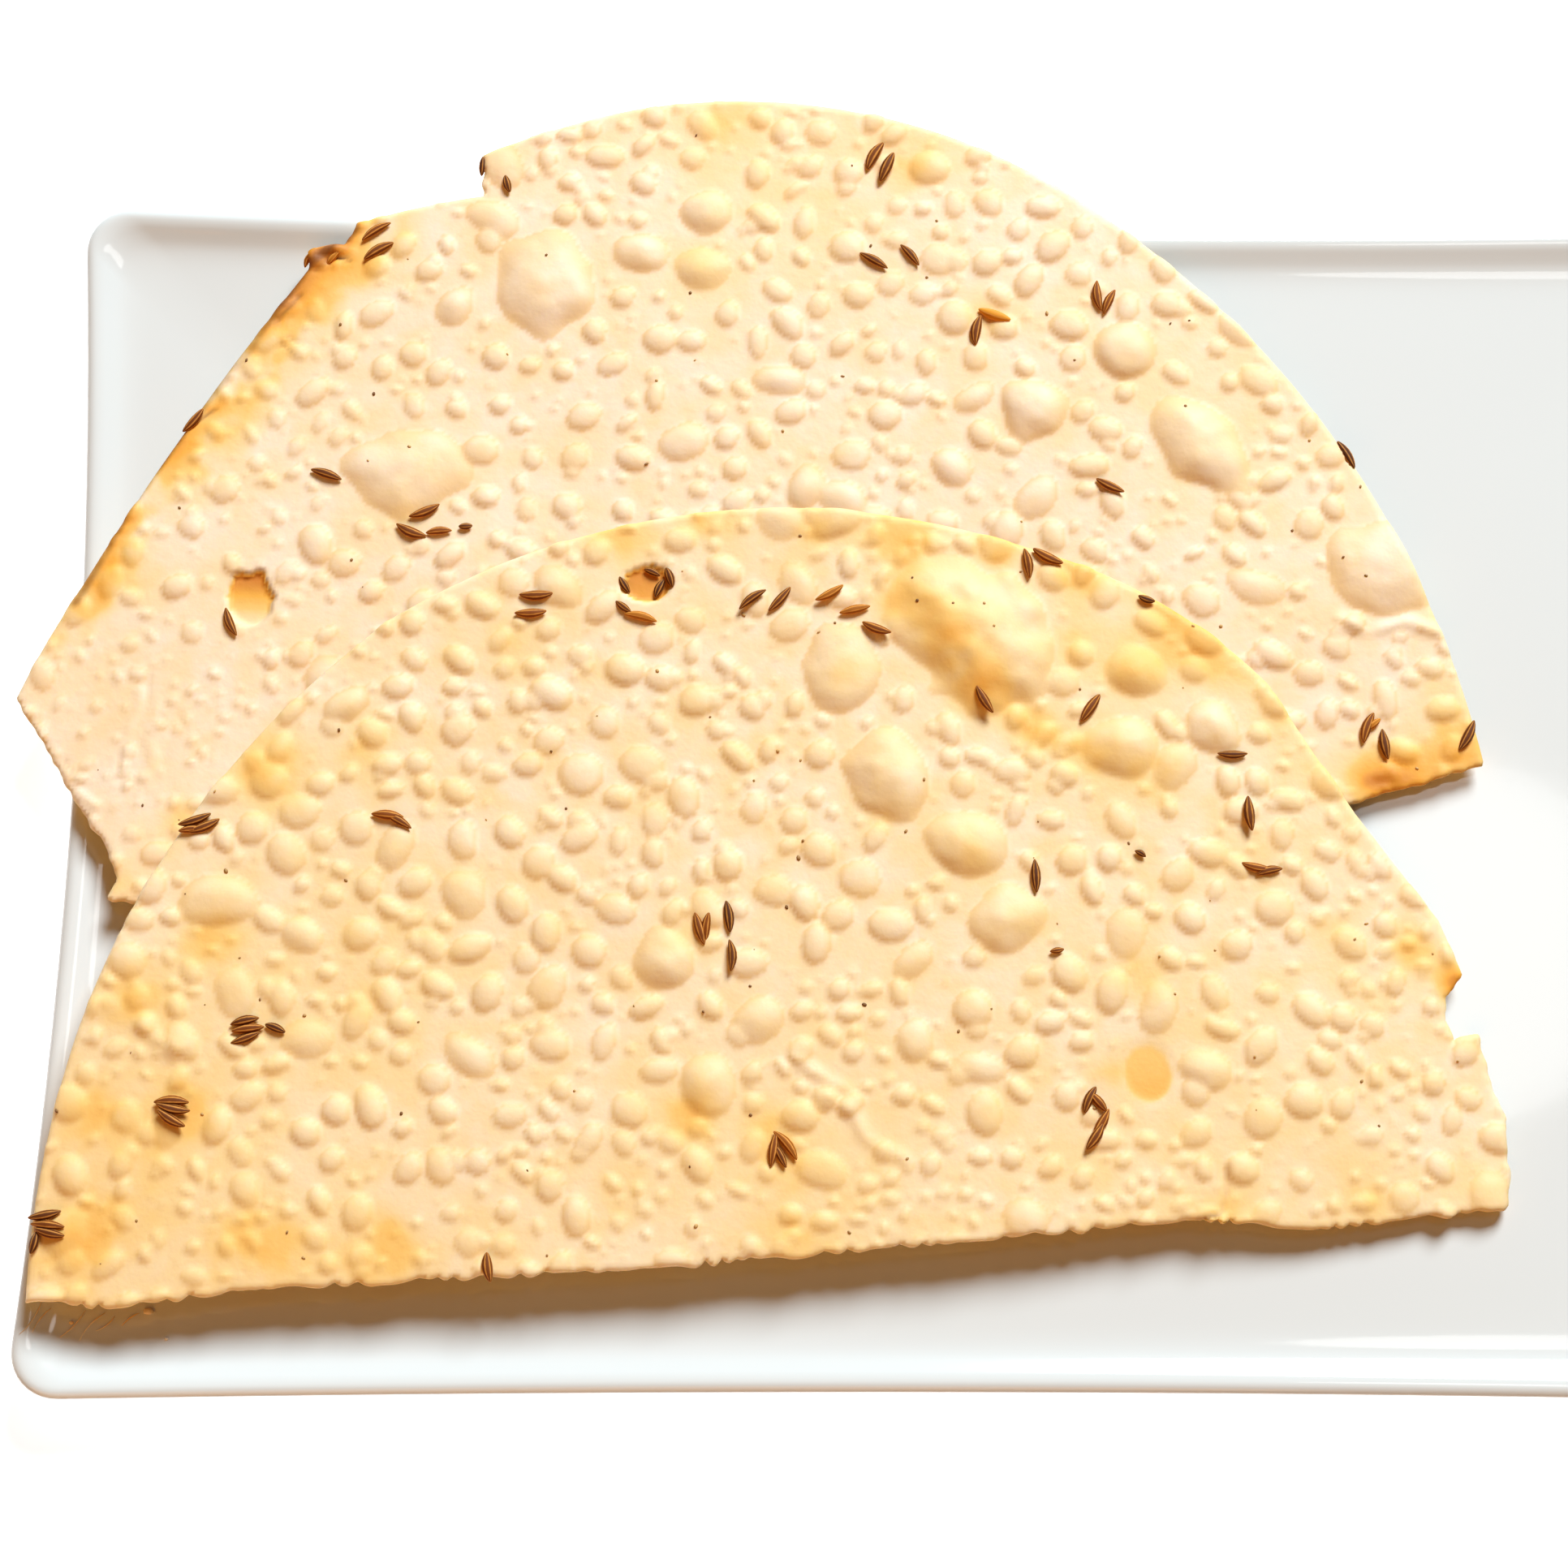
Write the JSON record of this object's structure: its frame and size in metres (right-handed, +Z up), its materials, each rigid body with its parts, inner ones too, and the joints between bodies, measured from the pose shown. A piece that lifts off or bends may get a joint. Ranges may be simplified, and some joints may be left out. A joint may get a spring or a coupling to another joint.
{
  "type": "papadum on a plate",
  "caption": "Blistered half-moon papadums with cumin seeds, one lying over another, on a white rectangular porcelain platter with lifted corners.",
  "frame": {"origin": "centre of the plate's flat foot, where it meets the table", "axes": "+X along the plate's length, away from the end that the papadums overhang; +Y to the far long side; +Z up"},
  "size_m": [0.2983, 0.1839, 0.0151],
  "materials": {
    "porcelain": "gloss",
    "pale_papadum": "matte",
    "golden_papadum": "matte",
    "cumin_seed": "matte"
  },
  "bodies": {
    "root": {"plate": "porcelain", "papadum_rear_half": "pale_papadum", "papadum_front_half": "golden_papadum"}
  },
  "joints": []
}
